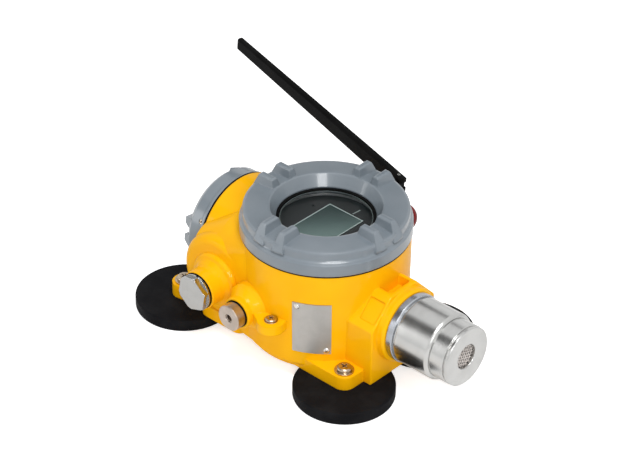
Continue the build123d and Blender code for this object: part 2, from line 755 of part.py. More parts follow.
def rear_cover():
    y1 = REAR_Y0 + REAR_L
    neck_y = CHAMBER_END_Y + CHAMBER_NECK_L + 0.6
    shell = turned(
        [
            (CHAMBER_NECK_R + FIT, REAR_Y0),
            (REAR_R - 0.8, REAR_Y0),
            (REAR_R, REAR_Y0 + 0.8),
            (REAR_R, REAR_Y0 + 2.6),
            (REAR_R - 0.8, REAR_Y0 + 3.4),
            (REAR_R - 0.8, REAR_Y0 + REAR_BAND_L),
            (REAR_BACK_R + 1.6, y1 - 1.8),
            (REAR_BACK_R, y1 - 0.6),
            (REAR_BACK_R - 1.2, y1),
            (0, y1),
            (0, neck_y),
            (CHAMBER_NECK_R + FIT, neck_y),
        ]
    )
    one = lug((16.0, REAR_R - 2.6), (18.5, REAR_BACK_R - 1.0), y1 - 4.5, y1 + REAR_LUG_H)
    lugs = lug_ring(one, REAR_LUG_SPACING, REAR_LUG_PAIRS, REAR_LUG_TURN) & disc(REAR_R - 0.9, 0, 200)
    hole = Rot(0, 0, REAR_SCREW_TURN) * rod_x(1.7, CHAMBER_NECK_R, REAR_R + 1, 0, REAR_Y0 + 3.7)
    return to_y(shell + lugs - hole, 0, CHAMBER_Z)


def rear_set_screw():
    screw = rod_x(1.65, CHAMBER_NECK_R + FIT / 2, REAR_R - 1.4, 0, REAR_Y0 + 3.7)
    key = Pos(REAR_R - 2.6, 0, REAR_Y0 + 3.7) * Rot(0, 90, 0) * hex_bar(1.7, 2.4)
    return to_y(Rot(0, 0, REAR_SCREW_TURN) * (screw - key), 0, CHAMBER_Z)


def terminal_places():
    return [TERMINAL_PITCH * (step - 1.5) for step in range(4)]


def terminal_block():
    y0 = CHAMBER_WALL_Y
    z1 = CHAMBER_Z - 4
    z0 = z1 - TERMINAL_H
    body = block(-TERMINAL_L / 2, TERMINAL_L / 2, y0, y0 + TERMINAL_W, z0, z1)
    for x in terminal_places():
        body = body - rod_y(2.5, y0 + 4, y0 + TERMINAL_W + 1, x, z0 + 4.5)
        body = body - disc(2.0, z0 + 7, z1 + 1, x, y0 + TERMINAL_W / 2)
    return body


def terminal_screws():
    y = CHAMBER_WALL_Y + TERMINAL_W / 2
    z1 = CHAMBER_Z - 4
    screws = []
    for x in terminal_places():
        head = disc(1.9, z1 - TERMINAL_H + 7, z1 - 1, x, y)
        screws.append(head - block(x - 2, x + 2, y - 0.3, y + 0.3, z1 - 1.8, z1))
    return group(screws)


# Side plugs, drawn towards +X and mirrored to the left side
def plug_seal(port_x, inner_r, outer_r, y):
    ring = rod_x(outer_r, port_x, port_x + PLUG_SEAL_T, y, PORT_Z)
    ring = ring - rod_x(inner_r, port_x - 1, port_x + 3, y, PORT_Z)
    return ring.mirror(Plane.YZ)


def hex_plug():
    x0 = ENTRY_X + PLUG_SEAL_T
    flange = rod_x(ENTRY_R - 0.9, x0, x0 + 1.4, 0, 0)
    head = Pos(x0 + 1.3, 0, 0) * Rot(0, 90, 0) * Rot(0, 0, HEX_PLUG_TURN) * hex_bar(HEX_PLUG_AF, HEX_PLUG_T - 1.3)
    corner_r = HEX_PLUG_AF / math.sqrt(3)
    bevel = turned(
        [
            (0, x0 - 1),
            (corner_r + 1, x0 - 1),
            (corner_r + 1, x0 + HEX_PLUG_T - 1.2),
            (corner_r - 0.9, x0 + HEX_PLUG_T),
            (0, x0 + HEX_PLUG_T),
        ]
    )
    head = head & to_x(bevel)
    thread = rod_x(ENTRY_THREAD_R, x0 - PLUG_THREAD_L, x0 + 0.1, 0, 0)
    plug = flange + head + thread
    return (Pos(0, TURRET_Y, PORT_Z) * plug).mirror(Plane.YZ)


def round_plug():
    x0 = SMALL_PORT_X + PLUG_SEAL_T
    x1 = x0 + ROUND_PLUG_T - 0.2
    head = turned(
        [
            (0, x0 - SMALL_THREAD_L),
            (SMALL_THREAD_R, x0 - SMALL_THREAD_L),
            (SMALL_THREAD_R, x0),
            (ROUND_PLUG_R, x0),
            (ROUND_PLUG_R, x1 - 0.5),
            (ROUND_PLUG_R - 0.5, x1),
            (SOCKET_R + 0.5, x1),
            (SOCKET_R + 0.1, x1 - 0.5),
            (SOCKET_R + 0.1, x1 - 1.2),
            (0, x1 - 1.2),
        ]
    )
    key = Pos(0, 0, x1 - 5.2) * hex_bar(SOCKET_R * 1.72, 5)
    return to_x(head - key, SMALL_PORT_Y, PORT_Z).mirror(Plane.YZ)


# Warning lamp
def lamp_base():
    x0 = LAMP_PORT_X + PLUG_SEAL_T
    nut = Pos(0, 0, x0) * hex_bar(LAMP_NUT_AF, LAMP_NUT_T)
    nut = chamfer(nut.edges().group_by(Axis.Z)[-1], 0.7)
    top = x0 + LAMP_NUT_T
    stem = disc(SMALL_THREAD_R, x0 - SMALL_THREAD_L + 1, x0 + 0.2)
    collar = disc(LAMP_LENS_R + LAMP_COLLAR_T, top - 0.1, top + LAMP_COLLAR_H)
    cup = disc(LAMP_LENS_R + FIT / 2, LAMP_SEAT_X, top + LAMP_COLLAR_H + 1)
    wires = disc(2.2, x0 - SMALL_THREAD_L, LAMP_SEAT_X + 1)
    return to_x(nut + stem + collar - cup - wires, LAMP_Y, PORT_Z)


def lamp_lens():
    centre = LAMP_LENS_TIP_X - LAMP_LENS_R
    outer = disc(LAMP_LENS_R, LAMP_SEAT_X, centre) + Pos(0, 0, centre) * Sphere(LAMP_LENS_R)
    inner_r = LAMP_LENS_R - LAMP_LENS_WALL
    inner = disc(inner_r, LAMP_SEAT_X - 1, centre) + Pos(0, 0, centre) * Sphere(inner_r)
    return to_x(outer - inner, LAMP_Y, PORT_Z)


def lamp_board():
    z0 = LAMP_SEAT_X
    inner_r = LAMP_LENS_R - LAMP_LENS_WALL - 0.1
    plate = disc(inner_r, z0, z0 + 1.2)
    led = disc(2.5, z0 + 1.1, z0 + 5.5) + Pos(0, 0, z0 + 5.5) * Sphere(2.5)
    return to_x(plate + led, LAMP_Y, PORT_Z)


# Antenna
def antenna_jack():
    barrel = rod_x(JACK_R, BODY_BORE_R - 4, JACK_BOSS_X + JACK_L, LAMP_Y, JACK_Z)
    flange = Pos(JACK_BOSS_X, LAMP_Y, JACK_Z) * Rot(0, 90, 0) * hex_bar(JACK_HEX_AF, JACK_HEX_T)
    return barrel + flange


def antenna_nut():
    x0 = JACK_BOSS_X + JACK_HEX_T
    nut = Pos(x0, LAMP_Y, JACK_Z) * Rot(0, 90, 0) * hex_bar(SWIVEL_NUT_AF, SWIVEL_NUT_L)
    nut = nut - rod_x(JACK_R + 0.05, x0 - 1, JACK_BOSS_X + JACK_L + 1.6, LAMP_Y, JACK_Z)
    return nut - rod_x(SWIVEL_R + RUN_GAP, x0 + 5, x0 + SWIVEL_NUT_L + 1, LAMP_Y, JACK_Z)


def elbow_frame(shape):
    # The elbow's own frame: jack axis along X, hinge pin along Z
    return Pos(ELBOW_X, LAMP_Y, JACK_Z) * Rot(ELBOW_ROLL, 0, 0) * shape


def elbow_base():
    shoulder = JACK_BOSS_X + JACK_HEX_T + SWIVEL_NUT_L + 0.4 - ELBOW_X
    start = JACK_BOSS_X + JACK_L + 0.2 - ELBOW_X
    stem = rod_x(SWIVEL_R, start, shoulder + 0.1) + rod_x(JACK_R - 0.35, start, start + 1.1)
    body = rod_x(ELBOW_R, shoulder, -7.0)
    body = chamfer(body.edges().filter_by(GeomType.CIRCLE), 0.5)
    tongue = block(-7.2, 0, -TONGUE_R, TONGUE_R, -TONGUE_T / 2, TONGUE_T / 2)
    tongue = tongue + disc(TONGUE_R, -TONGUE_T / 2, TONGUE_T / 2)
    bore = disc(ELBOW_PIN_R + RUN_GAP, -10, 10)
    return elbow_frame(stem + body + tongue - bore)


def elbow_pin():
    half = BLADE_W / 2 - 0.2
    return elbow_frame(disc(ELBOW_PIN_R, -half, half))


def antenna_blade():
    # Tapered paddle, drawn along X and then bent at the elbow
    def section(x, width, thick):
        plane = Plane(origin=(x, 0, 0), x_dir=(0, 0, 1), z_dir=(1, 0, 0))
        return plane * RectangleRounded(width, thick, thick * 0.32)

    root = section(-BLADE_BACK, BLADE_W, BLADE_T)
    heel = section(16, BLADE_W, BLADE_T)
    tip = section(BLADE_L, BLADE_TIP_W, BLADE_TIP_T)
    blade = loft([root, heel], ruled=True) + loft([heel, tip], ruled=True)
    blade = blade - block(-20, 6.4, -10, 10, -TONGUE_T / 2 - 0.2, TONGUE_T / 2 + 0.2)
    blade = blade - disc(ELBOW_PIN_R, -20, 20)
    blade = blade & (block(-2.9, BLADE_L + 1, -9, 9, -9, 9) + disc(BLADE_BACK, -9, 9))
    return elbow_frame(Rot(0, 0, ELBOW_BEND) * blade)


# Sensor head
def lock_ring():
    z0 = -COLLAR_Y
    z1 = -LOCK_Y
    ring = turned(
        [
            (SENSOR_THREAD_R + THREAD_GAP, z0),
            (LOCK_RING_R - 0.6, z0),
            (LOCK_RING_R, z0 + 0.6),
            (LOCK_RING_R, z1 - 0.5),
            (LOCK_RING_R - 0.5, z1),
            (SENSOR_THREAD_R + THREAD_GAP, z1),
        ]
    )
    return to_front(ring)


def sensor_barrel():
    z0 = -LOCK_Y
    z1 = -BARREL_Y
    inner = SENSOR_CAP_R - 3.4
    barrel = turned(
        [
            (9.0, BODY_BORE_R + 4),
            (SENSOR_THREAD_R, BODY_BORE_R + 4),
            (SENSOR_THREAD_R, z0),
            (SENSOR_R - 0.8, z0),
            (SENSOR_R - 0.8, z0 + 1.6),
            (SENSOR_R, z0 + 2.1),
            (SENSOR_R, z1 - SENSOR_EDGE_R),
            (SENSOR_R - 0.5, z1 - 0.8),
            (SENSOR_R - 1.6, z1),
            (inner, z1),
            (inner, z0 + 6),
            (9.0, z0 + 6),
        ]
    )
    return to_front(barrel)


def sensor_cap():
    z0 = -BARREL_Y
    z1 = -CAP_FACE_Y
    inner = SENSOR_CAP_R - 3.4 - THREAD_GAP
    bed = z1 - GAS_HOLE_DEPTH
    cap = turned(
        [
            (CAP_BORE_R, z0 - 8),
            (inner, z0 - 8),
            (inner, z0),
            (SENSOR_CAP_R, z0),
            (SENSOR_CAP_R, z1 - 3.1),
            (SENSOR_CAP_R - 0.9, z1 - 2.9),
            (SENSOR_CAP_R - 0.9, z1 - 2.3),
            (SENSOR_CAP_R - 0.3, z1 - 2.1),
            (SENSOR_CAP_R - 0.3, z1 - 0.4),
            (SENSOR_CAP_R - 0.7, z1),
            (GAS_HOLE_R + 0.5, z1),
            (GAS_HOLE_R, z1 - 0.5),
            (GAS_HOLE_R, bed),
            (ARRESTOR_R, bed),
            (ARRESTOR_R, bed - ARRESTOR_T - 0.2),
            (CAP_BORE_R, bed - ARRESTOR_T - 0.2),
        ]
    )
    return to_front(cap)


def flame_arrestor():
    bed = -CAP_FACE_Y - GAS_HOLE_DEPTH
    return to_front(disc(ARRESTOR_R - RUN_GAP, bed - ARRESTOR_T, bed))


def element_holder():
    z0 = -BARREL_Y - HOLDER_INSET
    bore = disc(ELEMENT_R + RUN_GAP, z0 - 1, z0 + HOLDER_T + 1)
    return to_front(disc(CAP_BORE_R - RUN_GAP, z0, z0 + HOLDER_T) - bore)


def sensing_element():
    z0 = -BARREL_Y - HOLDER_INSET - 1
    z1 = -CAP_FACE_Y - GAS_HOLE_DEPTH - ARRESTOR_T - 0.2
    can = disc(ELEMENT_R, z0, z1)
    for turn in (90, 210, 330):
        angle = math.radians(turn)
        x, y = ELEMENT_PIN_PITCH_R * math.cos(angle), ELEMENT_PIN_PITCH_R * math.sin(angle)
        can = can + disc(ELEMENT_PIN_R, z0 - ELEMENT_PIN_L, z0 + 0.1, x, y)
    return to_front(can)


# Trim
def wall_r(z):
    return BODY_R_LOW + (BODY_R_TOP - BODY_R_LOW) * (z - BODY_Z0) / (RIM_Z - BODY_Z0)


def nameplate():
    z0 = PLATE_Z - PLATE_H / 2
    z1 = PLATE_Z + PLATE_H / 2
    span = math.degrees(PLATE_W / wall_r(PLATE_Z))
    outline = Polyline(
        (wall_r(z0), z0),
        (wall_r(z0) + PLATE_T, z0),
        (wall_r(z1) + PLATE_T, z1),
        (wall_r(z1), z1),
        close=True,
    )
    sheet = revolve(make_face(Plane.XZ * outline), Axis.Z, span)
    return Rot(0, 0, PLATE_ANGLE - span / 2) * sheet


def plate_rivets():
    behind = turned([(0, 0), (wall_r(0) + PLATE_T, 0), (wall_r(RIM_Z) + PLATE_T, RIM_Z), (0, RIM_Z)])
    rivets = []
    for side, dz in ((-1, PLATE_H / 2 - RIVET_R - 0.6), (1, -PLATE_H / 2 + RIVET_R + 0.6)):
        z = PLATE_Z + dz
        r = wall_r(z) + PLATE_T
        turn = PLATE_ANGLE + side * math.degrees((PLATE_W / 2 - RIVET_R - 0.8) / r)
        head = rod_x(RIVET_R, r - 0.3, r + 0.3, 0, z)
        head = head + Pos(r + 0.3, 0, z) * Rot(0, 90, 0) * Cone(RIVET_R, RIVET_R - 0.8, 0.5, align=(Align.CENTER, Align.CENTER, Align.MIN))
        rivets.append(Rot(0, 0, turn) * (head - behind))
    return group(rivets)


def earth_screw():
    screw = pan_screw(2.0, 3.9, 1.9, EARTH_T + 1.2)
    washer = disc(4.3, 0, 0.5)
    return Pos(EARTH_X, EARTH_Y, EARTH_Z - 0.8) * (Pos(0, 0, 0.4) * screw + washer)


write(housing(), "housing")

names = {
    (-FOOT_X, FRONT_FOOT_Y): "magnet_foot_front_left",
    (FOOT_X, FRONT_FOOT_Y): "magnet_foot_front_right",
    (-FOOT_X, REAR_FOOT_Y): "magnet_foot_rear_left",
    (FOOT_X, REAR_FOOT_Y): "magnet_foot_rear_right",
}
for place, name in names.items():
    write(magnet_foot(*place), name)
write(group([Pos(x, y, 0) * foot_bush() for x, y in foot_places()]), "foot_bushes")
write(group([Pos(x, y, 0) * foot_washer() for x, y in foot_places()]), "foot_washers")
write(group([Pos(x, y, 0) * foot_screw() for x, y in foot_places()]), "foot_screws")

write(display_cover(), "display_cover")
write(cover_set_screw(), "cover_set_screw")
write(window_seal(), "window_seal")
write(window_glass(), "window_glass")
write(glass_ring(), "glass_ring")
write(cover_gasket(), "cover_gasket")

write(faceplate(), "faceplate")
write(screen(), "screen")
write(screen_frame(), "screen_frame")
upper_chips = [(-34, -27, -8, 8, 3.0), (26, 36, -6, 6, 2.4), (-8, 8, -34, -27, 3.4)]
lower_chips = [(-10, 6, -9, 7, 1.8), (18, 30, -12, 4, 5.0), (-32, -22, -8, 8, 6.0), (-7, 7, 24, 34, 7.5)]
write(board(UPPER_BOARD_Z, upper_chips), "upper_board")
write(board(LOWER_BOARD_Z, lower_chips), "lower_board")
write(pillars(FLOOR_Z, LOWER_BOARD_Z), "lower_pillars")
write(pillars(LOWER_BOARD_Z + BOARD_T, UPPER_BOARD_Z), "middle_pillars")
write(pillars(UPPER_BOARD_Z + BOARD_T, FACE_Z - FACE_T), "upper_pillars")
write(face_screws(), "face_screws")
write(battery_cell(), "battery_cell")
write(cell_cradle(), "cell_cradle")

write(rear_gasket(), "rear_gasket")
write(rear_cover(), "rear_cover")
write(rear_set_screw(), "rear_set_screw")
write(terminal_block(), "terminal_block")
write(terminal_screws(), "terminal_screws")

write(plug_seal(ENTRY_X, ENTRY_THREAD_R + THREAD_GAP, ENTRY_R - 0.6, TURRET_Y), "hex_plug_seal")
write(hex_plug(), "hex_plug")
write(plug_seal(SMALL_PORT_X, SMALL_THREAD_R + THREAD_GAP, ROUND_PLUG_R + 0.5, SMALL_PORT_Y), "round_plug_seal")
write(round_plug(), "round_plug")
lamp_seal = plug_seal(LAMP_PORT_X, SMALL_THREAD_R + THREAD_GAP, SMALL_PORT_R - 1, LAMP_Y)
write(lamp_seal.mirror(Plane.YZ), "lamp_seal")
write(lamp_base(), "lamp_base")
write(lamp_lens(), "lamp_lens")
write(lamp_board(), "lamp_board")

write(antenna_jack(), "antenna_jack")
write(antenna_nut(), "antenna_nut")
write(elbow_base(), "antenna_elbow")
write(elbow_pin(), "elbow_pin")
write(antenna_blade(), "antenna_blade")

write(lock_ring(), "sensor_lock_ring")
write(sensor_barrel(), "sensor_barrel")
write(sensor_cap(), "sensor_cap")
write(flame_arrestor(), "flame_arrestor")
write(element_holder(), "element_holder")
write(sensing_element(), "sensing_element")

write(nameplate(), "nameplate")
write(plate_rivets(), "plate_rivets")
write(earth_screw(), "earth_screw")
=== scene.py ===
# %% [markdown]
# A combustible gas detector lies on its back on four magnets, as a technician would set it
# down on a steel beam. Its shape was made in CAD, so this lesson is about finishes and light:
# cast enamel, powder coat, turned steel, moulded rubber and glass. Everything shares the CAD
# frame, in metres: +Z out of the display, +Y towards the wiring chamber, +X towards the lamp.
# Sizes in the finishes are in metres too, and MM turns a drawing's millimetres into metres.

# %% Load the frame
import math
import bmesh
import bpy
from mathutils import Matrix, Vector


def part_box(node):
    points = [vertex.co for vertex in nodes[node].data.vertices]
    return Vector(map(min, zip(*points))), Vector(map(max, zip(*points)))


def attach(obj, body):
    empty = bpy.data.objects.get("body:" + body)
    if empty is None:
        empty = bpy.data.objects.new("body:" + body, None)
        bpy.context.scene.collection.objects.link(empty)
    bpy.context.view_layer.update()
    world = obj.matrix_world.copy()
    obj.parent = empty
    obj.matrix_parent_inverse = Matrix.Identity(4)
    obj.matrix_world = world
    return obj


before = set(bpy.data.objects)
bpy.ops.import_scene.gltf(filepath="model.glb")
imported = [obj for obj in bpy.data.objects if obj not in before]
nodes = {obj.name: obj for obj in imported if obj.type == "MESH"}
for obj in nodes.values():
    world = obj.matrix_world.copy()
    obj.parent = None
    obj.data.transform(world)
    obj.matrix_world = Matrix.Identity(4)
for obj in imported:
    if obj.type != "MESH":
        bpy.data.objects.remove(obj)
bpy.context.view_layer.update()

MM = 0.001

print("pieces from CAD:", len(nodes))

# %% [markdown]
# The photograph was taken with a long lens from about 1.6 m away, so parallel edges barely
# converge. The camera is placed by an orbit: a target, two angles and a distance. A small roll
# about the line of sight finishes it.

# %% Camera
PHOTO_SIZE = (620, 460)
ORBIT_AZIMUTH = math.radians(-47.25)
ORBIT_ELEVATION = math.radians(34.26)
ORBIT_ROLL = math.radians(0.38)
ORBIT_DISTANCE = 1.6467
ORBIT_TARGET = Vector((0.00397, -0.00143, 0.07131))
FOCAL_PIXELS = 2546.66
SENSOR_WIDTH = 36.0
FAR_LIMIT = 50.0


def orbit_camera():
    ca, sa = math.cos(ORBIT_AZIMUTH), math.sin(ORBIT_AZIMUTH)
    ce, se = math.cos(ORBIT_ELEVATION), math.sin(ORBIT_ELEVATION)
    back = Vector((sa * ce, -ca * ce, se))
    side = Vector((ca, sa, 0))
    rise = back.cross(side)
    right = side * math.cos(ORBIT_ROLL) + rise * math.sin(ORBIT_ROLL)
    up = rise * math.cos(ORBIT_ROLL) - side * math.sin(ORBIT_ROLL)
    turn = Matrix((right, up, back)).transposed().to_4x4()
    data = bpy.data.cameras.new("photo_camera")
    data.sensor_width = SENSOR_WIDTH
    data.lens = FOCAL_PIXELS / PHOTO_SIZE[0] * data.sensor_width
    data.clip_end = FAR_LIMIT
    camera = bpy.data.objects.new("photo_camera", data)
    camera.matrix_world = Matrix.Translation(ORBIT_TARGET + back * ORBIT_DISTANCE) @ turn
    bpy.context.scene.collection.objects.link(camera)
    bpy.context.scene.camera = camera
    return camera


camera = orbit_camera()
print("lens in mm:", round(camera.data.lens, 2))

# %% [markdown]
# Every finish is a small sum over the surface, such as grain plus a little wear. Written as
# Blender nodes that sum is long and hard to read. So one class wraps an output socket and lets
# Python's own operators add the Math nodes. A second one adds every other kind of node, and a
# third, built on it, holds a material while it is being made.

# %% Shader sums
class Signal:
    """A value that changes over a surface, wrapped so that it can be used in sums."""

    def __init__(self, network, socket):
        self.network = network
        self.socket = socket

    def _math(self, operation, *values):
        inputs = dict(enumerate(values))
        return self.network.node("ShaderNodeMath", {"operation": operation}, inputs)["Value"]

    def __add__(self, other):
        return self._math("ADD", self, other)

    def __radd__(self, other):
        return self._math("ADD", other, self)

    def __sub__(self, other):
        return self._math("SUBTRACT", self, other)

    def __rsub__(self, other):
        return self._math("SUBTRACT", other, self)

    def __mul__(self, other):
        return self._math("MULTIPLY", self, other)

    def __rmul__(self, other):
        return self._math("MULTIPLY", other, self)

    def __pow__(self, other):
        return self._math("POWER", self, other)

    def __rpow__(self, other):
        return self._math("POWER", other, self)

    def most(self, other):
        return self._math("MAXIMUM", self, other)

    def within(self, low, high):
        """Runs smoothly from 0 at the low value to 1 at the high one."""
        made = self.network.node(
            "ShaderNodeMapRange",
            {"clamp": True, "interpolation_type": "SMOOTHSTEP"},
            {"Value": self, "From Min": low, "From Max": high},
        )
        return made["Result"]


class Outputs:
    """A node that was just added; indexing it gives one of its outputs as a Signal."""

    def __init__(self, network, made):
        self.network = network
        self.made = made

    def __getitem__(self, name):
        return Signal(self.network, self.made.outputs[name])


class Network:
    """The node tree of a material or of the world."""

    def __init__(self, owner):
        owner.use_nodes = True
        self.tree = owner.node_tree
        self.tree.nodes.clear()

    def node(self, kind, settings=None, inputs=None):
        made = self.tree.nodes.new(kind)
        for key, value in (settings or {}).items():
            setattr(made, key, value)
        for key, value in (inputs or {}).items():
            self.feed(made.inputs[key], value)
        return Outputs(self, made)

    def feed(self, socket, value):
        if isinstance(value, Signal):
            self.tree.links.new(value.socket, socket)
        elif isinstance(value, (tuple, list)) and len(value) == 3 and socket.type == "RGBA":
            socket.default_value = (*value, 1.0)
        else:
            socket.default_value = value


# A Mix node has a socket of each name for numbers, vectors and colours, so the colour ones go
# by their places in its lists.
MIX_FACTOR, MIX_LOW, MIX_HIGH, MIX_RESULT = 0, 6, 7, 2
BEVEL_SAMPLES = 6


class Finish(Network):
    """One material while it is being made."""

    def __init__(self, name):
        self.material = bpy.data.materials.new(name)
        super().__init__(self.material)
        self.shader = self.node("ShaderNodeBsdfPrincipled")
        self.node("ShaderNodeOutputMaterial", {}, {"Surface": self.shader["BSDF"]})

    def set(self, **inputs):
        for key, value in inputs.items():
            self.feed(self.shader.made.inputs[key.replace("_", " ")], value)
        return self

    def place(self):
        return self.node("ShaderNodeTexCoord")["Object"]

    def vector_math(self, operation, *values):
        inputs = dict(enumerate(values))
        return self.node("ShaderNodeVectorMath", {"operation": operation}, inputs)["Vector"]

    def axes(self, origin):
        moved = self.vector_math("SUBTRACT", self.place(), origin)
        split = self.node("ShaderNodeSeparateXYZ", {}, {"Vector": moved})
        return split["X"], split["Y"], split["Z"]

    def stretched(self, scale):
        return self.vector_math("MULTIPLY", self.place(), scale)

    def grain(self, size, detail=3.0, vector=None):
        """Noise whose blotches are about this size."""
        inputs = {"Vector": vector or self.place(), "Scale": 1.0 / size, "Detail": detail}
        return self.node("ShaderNodeTexNoise", {}, {**inputs, "Roughness": 0.55})["Fac"]

    def cells(self, density):
        """Distance to the nearest of many scattered points, so many to a metre."""
        inputs = {"Vector": self.place(), "Scale": density}
        return self.node("ShaderNodeTexVoronoi", {}, inputs)["Distance"]

    def mix(self, mask, low, high):
        inputs = {MIX_FACTOR: mask, MIX_LOW: low, MIX_HIGH: high}
        return self.node("ShaderNodeMix", {"data_type": "RGBA"}, inputs)[MIX_RESULT]

    def worn_edge(self, radius):
        """A normal that rounds every sharp edge by a small radius, as casting and handling do."""
        made = self.node("ShaderNodeBevel", {"samples": BEVEL_SAMPLES}, {"Radius": radius})
        return made["Normal"]

    def bump(self, height, depth, strength, normal=None):
        inputs = {"Height": height, "Distance": depth, "Strength": strength}
        if normal is not None:
            inputs["Normal"] = normal
        return self.node("ShaderNodeBump", {}, inputs)["Normal"]


def wear(*names, finish):
    for name in names:
        slots = nodes[name].data.materials
        slots.clear()
        slots.append(finish.material)
    print(finish.material.name, "on", ", ".join(names))


# %% [markdown]
# The housing is a die casting under thick yellow enamel. Real enamel has a slow unevenness
# called orange peel and a smooth clear gloss, and no edge of a casting is quite sharp. Noise at
# two sizes gives the peel, the coat layer gives the gloss without a mirror look, and a Bevel
# node turns the normals at the edges, so that they catch the light as rounded ones do.

# %% Yellow enamel
def enamel():
    paint = Finish("yellow_enamel")
    cloud = paint.grain(0.035, 2.0)
    peel = paint.grain(0.0022, 1.5)
    sand = paint.grain(0.0006, 2.0)
    colour = paint.mix(cloud.within(0.35, 0.7), (0.91, 0.44, 0.002), (0.95, 0.48, 0.003))
    rough = 0.26 + peel * 0.10
    height = peel * 0.7 + sand * 0.3
    paint.set(Base_Color=colour, Roughness=rough, Specular_IOR_Level=0.03)
    paint.set(Coat_Weight=0.15, Coat_Roughness=0.06)
    edge = paint.worn_edge(radius=0.0012)
    return paint.set(Normal=paint.bump(height, depth=0.00012, strength=0.25, normal=edge))


wear("housing", finish=enamel())

# %% [markdown]
# Both covers carry a grey powder coat. It is duller than enamel, with a finer grain, and
# handling rubs it brighter in patches.

# %% Grey powder coat
def powder_coat():
    coat = Finish("grey_powder_coat")
    cloud = coat.grain(0.03, 3.0)
    grit = coat.grain(0.0009, 2.0)
    colour = coat.mix(cloud.within(0.3, 0.7), (0.15, 0.18, 0.207), (0.175, 0.205, 0.232))
    rough = 0.32 + cloud * 0.08 + grit * 0.06
    coat.set(Base_Color=colour, Roughness=rough, Specular_IOR_Level=0.5)
    coat.set(Coat_Weight=0.75, Coat_Roughness=0.13)
    edge = coat.worn_edge(radius=0.0013)
    return coat.set(Normal=coat.bump(grit, depth=0.00010, strength=0.2, normal=edge))


wear("display_cover", "rear_cover", finish=powder_coat())

# %% [markdown]
# The feet are magnets moulded into rubber. Rubber is almost black, never quite: dust and a
# fine mould texture lift it a little. The seals are the same family, darker and smoother.

# %% Rubber
def rubber(name, dark, pale, rough, pore):
    skin = Finish(name)
    dust = skin.grain(0.012, 4.0)
    pores = skin.grain(pore, 3.0)
    colour = skin.mix(dust.within(0.35, 0.75), dark, pale)
    skin.set(Base_Color=colour, Roughness=rough + pores * 0.15, Specular_IOR_Level=0.04)
    return skin.set(Normal=skin.bump(pores, depth=0.00015, strength=0.5))


foot_rubber = rubber("foot_rubber", (0.006, 0.006, 0.007), (0.011, 0.011, 0.012),
                     rough=0.55, pore=0.0008)
seal_rubber = rubber("seal_rubber", (0.003, 0.003, 0.003), (0.006, 0.006, 0.006),
                     rough=0.5, pore=0.0005)
wear(*[name for name in nodes if name.startswith("magnet_foot")], finish=foot_rubber)
wear("cover_gasket", "rear_gasket", "window_seal", finish=seal_rubber)
wear("hex_plug_seal", "round_plug_seal", "lamp_seal", finish=seal_rubber)

# %% [markdown]
# The sensor is turned from stainless steel. A lathe tool leaves fine rings, so the noise is
# squeezed along the axis and stays the same around it: the distance from the axis and the
# position along it are the only two inputs.

# %% Turned steel
SENSOR_AXIS = Vector((0, 0, 42 * MM))
TOOL_PITCH = 0.3 * MM


def turned_metal(name, dark, pale, rough):
    metal = Finish(name)
    x, y, z = metal.axes(tuple(SENSOR_AXIS))
    radius = (x * x + z * z) ** 0.5
    rings = metal.node("ShaderNodeCombineXYZ", {}, {"X": radius, "Y": y, "Z": 0.0})["Vector"]
    cut = metal.grain(TOOL_PITCH, 2.0, vector=rings)
    smear = metal.grain(0.012, 2.0)
    colour = metal.mix(smear.within(0.35, 0.7), dark, pale)
    metal.set(Base_Color=colour, Metallic=1.0, Roughness=rough + cut * 0.05 + smear * 0.03)
    edge = metal.worn_edge(radius=0.0007)
    return metal.set(Normal=metal.bump(cut, depth=0.000002, strength=0.3, normal=edge))


turned_steel = turned_metal("turned_steel", (0.51, 0.51, 0.50), (0.56, 0.56, 0.55), rough=0.2)
anodised_ring = turned_metal("anodised_ring", (0.40, 0.42, 0.45), (0.46, 0.48, 0.52), rough=0.22)
wear("sensor_barrel", "sensor_cap", "sensing_element", finish=turned_steel)
wear("sensor_lock_ring", finish=anodised_ring)

# %% [markdown]
# Small hardware has a plainer metal: zinc on the screws, some of them tinted warm as a painted
# reflection of the yellow housing, nickel on the two plugs, brass on the antenna fitting. One
# function makes them all, with scratches as a stretched noise, and a table lists who wears which.

# %% Plated metals
def plated(name, dark, pale, rough):
    metal = Finish(name)
    tone = metal.grain(0.006, 3.0)
    lines = metal.grain(0.0006, 2.0, vector=metal.stretched((1.0, 1.0, 0.15)))
    colour = metal.mix(tone.within(0.3, 0.75), dark, pale)
    metal.set(Base_Color=colour, Metallic=1.0, Roughness=rough + lines * 0.06)
    edge = metal.worn_edge(radius=0.0004)
    return metal.set(Normal=metal.bump(lines, depth=0.000006, strength=0.3, normal=edge))


# Name, darker colour, paler colour, roughness, and the pieces in this metal.
PLATED = (
    ("zinc_plate", (0.55, 0.55, 0.53), (0.70, 0.69, 0.66), 0.24,
     ("foot_bushes", "face_screws", "terminal_screws", "lower_pillars", "middle_pillars",
      "upper_pillars", "elbow_pin", "plate_rivets")),
    # The warm tint on these screws is a painted reflection of the yellow housing.
    ("zinc_tinted_by_painted_reflection", (0.44, 0.36, 0.27), (0.58, 0.49, 0.38), 0.2,
     ("foot_washers", "foot_screws", "earth_screw", "cover_set_screw", "rear_set_screw")),
    ("bright_nickel", (0.41, 0.41, 0.40), (0.44, 0.44, 0.43), 0.1, ("hex_plug",)),
    ("satin_nickel", (0.42, 0.36, 0.31), (0.50, 0.43, 0.38), 0.26, ("round_plug",)),
    ("lamp_steel", (0.50, 0.50, 0.50), (0.60, 0.60, 0.59), 0.26, ("lamp_base",)),
    ("antenna_brass", (0.62, 0.46, 0.2), (0.75, 0.58, 0.28), 0.25, ("antenna_jack", "antenna_nut")),
    ("ring_aluminium", (0.55, 0.56, 0.57), (0.62, 0.63, 0.64), 0.35, ("glass_ring",)),
)
for name, dark, pale, rough, wearers in PLATED:
    wear(*wearers, finish=plated(name, dark, pale, rough))

